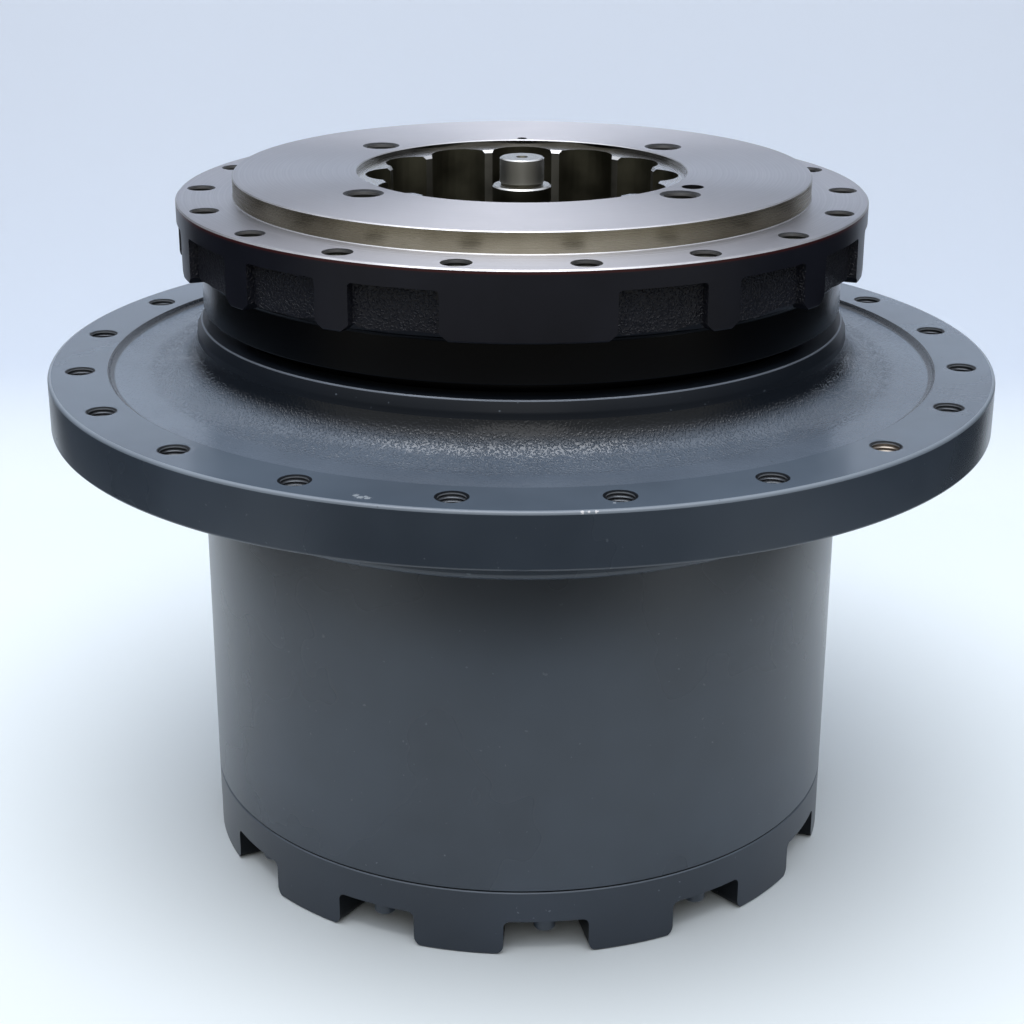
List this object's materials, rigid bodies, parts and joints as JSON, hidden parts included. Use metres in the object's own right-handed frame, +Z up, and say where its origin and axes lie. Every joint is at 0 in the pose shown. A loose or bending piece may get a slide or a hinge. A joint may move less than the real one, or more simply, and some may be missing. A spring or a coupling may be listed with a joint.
{
  "type": "excavator final drive",
  "caption": "Planetary travel gearbox in a turning hub: sprocket flange on the hub, track-frame flange and motor face on the spindle, castellated end cover.",
  "frame": {"origin": "middle of the ground circle that the end cover's lugs stand on", "axes": "+Z up the common axis of housing, spindle and shaft, from the end cover towards the motor face; -Y is the side that faces the picture's camera"},
  "size_m": [0.54, 0.54, 0.403],
  "materials": {
    "housing_paint": "dark blue-grey satin paint on cast iron",
    "machined_spindle": "face-turned satin steel, dark cast flank",
    "ground_steel": "ground bright steel",
    "gear_steel": "carburised and ground gear steel, oiled",
    "screw_steel": "black oxide steel",
    "cast_iron": "bare cast iron",
    "cage_brass": "machined brass cage with steel balls",
    "thrust_bronze": "sintered bronze",
    "seal_rubber": "matte nitrile rubber"
  },
  "bodies": {
    "housing": {"hub_housing": "housing_paint", "end_cover": "housing_paint", "ring_gear": "gear_steel", "ring_gear_key_1": "ground_steel", "ring_gear_key_2": "ground_steel", "ring_gear_key_3": "ground_steel", "ring_gear_key_4": "ground_steel", "cover_screw_01": "screw_steel", "cover_screw_02": "screw_steel", "cover_screw_03": "screw_steel", "cover_screw_04": "screw_steel", "cover_screw_05": "screw_steel", "cover_screw_06": "screw_steel", "cover_screw_07": "screw_steel", "cover_screw_08": "screw_steel", "cover_screw_09": "screw_steel", "cover_screw_10": "screw_steel", "cover_screw_11": "screw_steel", "cover_screw_12": "screw_steel", "drain_plug": "screw_steel", "level_plug": "screw_steel", "filler_plug": "screw_steel", "cover_o_ring": "seal_rubber", "thrust_pad": "thrust_bronze", "upper_bearing_outer_ring": "ground_steel", "lower_bearing_outer_ring": "ground_steel", "seal_ring_housing": "ground_steel", "seal_toric_housing": "seal_rubber"},
    "spindle": {"spindle": "machined_spindle", "upper_bearing_inner_ring": "ground_steel", "lower_bearing_inner_ring": "ground_steel", "bearing_nut": "gear_steel", "nut_lock_plate": "screw_steel", "seal_ring_spindle": "ground_steel", "seal_toric_spindle": "seal_rubber", "final_carrier": "cast_iron", "final_planet_pin_1": "ground_steel", "final_planet_pin_2": "ground_steel", "final_planet_pin_3": "ground_steel"},
    "final_planet_1": {"final_planet_1": "gear_steel"},
    "final_planet_2": {"final_planet_2": "gear_steel"},
    "final_planet_3": {"final_planet_3": "gear_steel"},
    "first_carrier": {"first_carrier": "cast_iron", "final_sun": "gear_steel", "first_planet_pin_1": "ground_steel", "first_planet_pin_2": "ground_steel", "first_planet_pin_3": "ground_steel"},
    "first_planet_1": {"first_planet_1": "gear_steel"},
    "first_planet_2": {"first_planet_2": "gear_steel"},
    "first_planet_3": {"first_planet_3": "gear_steel"},
    "input_shaft": {"input_shaft": "ground_steel"},
    "upper_ball_set": {"upper_bearing_ball_set": "cage_brass"},
    "lower_ball_set": {"lower_bearing_ball_set": "cage_brass"}
  },
  "joints": [
    {"name": "spindle_turn", "type": "hinge", "parent": "housing", "child": "spindle", "pos_m": [0, 0, 0.2], "axis": [0, 0, 1], "continuous": true},
    {"name": "final_planet_1_turn", "type": "hinge", "parent": "spindle", "child": "final_planet_1", "pos_m": [0, -0.09, 0.13], "axis": [0, 0, 1], "continuous": true},
    {"name": "final_planet_2_turn", "type": "hinge", "parent": "spindle", "child": "final_planet_2", "pos_m": [0.07794, 0.045, 0.13], "axis": [0, 0, 1], "continuous": true},
    {"name": "final_planet_3_turn", "type": "hinge", "parent": "spindle", "child": "final_planet_3", "pos_m": [-0.07794, 0.045, 0.13], "axis": [0, 0, 1], "continuous": true},
    {"name": "first_carrier_turn", "type": "hinge", "parent": "housing", "child": "first_carrier", "pos_m": [0, 0, 0.09], "axis": [0, 0, 1], "continuous": true},
    {"name": "first_planet_1_turn", "type": "hinge", "parent": "first_carrier", "child": "first_planet_1", "pos_m": [0.07794, -0.045, 0.07], "axis": [0, 0, 1], "continuous": true},
    {"name": "first_planet_2_turn", "type": "hinge", "parent": "first_carrier", "child": "first_planet_2", "pos_m": [0, 0.09, 0.07], "axis": [0, 0, 1], "continuous": true},
    {"name": "first_planet_3_turn", "type": "hinge", "parent": "first_carrier", "child": "first_planet_3", "pos_m": [-0.07794, -0.045, 0.07], "axis": [0, 0, 1], "continuous": true},
    {"name": "input_shaft_turn", "type": "hinge", "parent": "housing", "child": "input_shaft", "pos_m": [0, 0, 0.07], "axis": [0, 0, 1], "continuous": true},
    {"name": "upper_ball_set_turn", "type": "hinge", "parent": "housing", "child": "upper_ball_set", "pos_m": [0, 0, 0.2625], "axis": [0, 0, 1], "continuous": true},
    {"name": "lower_ball_set_turn", "type": "hinge", "parent": "housing", "child": "lower_ball_set", "pos_m": [0, 0, 0.2115], "axis": [0, 0, 1], "continuous": true}
  ],
  "couplings": [
    {"joint": "final_planet_1_turn", "follows": "spindle_turn", "ratio": -2.6667},
    {"joint": "final_planet_2_turn", "follows": "spindle_turn", "ratio": -2.6667},
    {"joint": "final_planet_3_turn", "follows": "spindle_turn", "ratio": -2.6667},
    {"joint": "first_carrier_turn", "follows": "spindle_turn", "ratio": 5},
    {"joint": "first_planet_1_turn", "follows": "spindle_turn", "ratio": -13.333},
    {"joint": "first_planet_2_turn", "follows": "spindle_turn", "ratio": -13.333},
    {"joint": "first_planet_3_turn", "follows": "spindle_turn", "ratio": -13.333},
    {"joint": "input_shaft_turn", "follows": "spindle_turn", "ratio": 25},
    {"joint": "upper_ball_set_turn", "follows": "spindle_turn", "ratio": 0.45},
    {"joint": "lower_ball_set_turn", "follows": "spindle_turn", "ratio": 0.45}
  ]
}
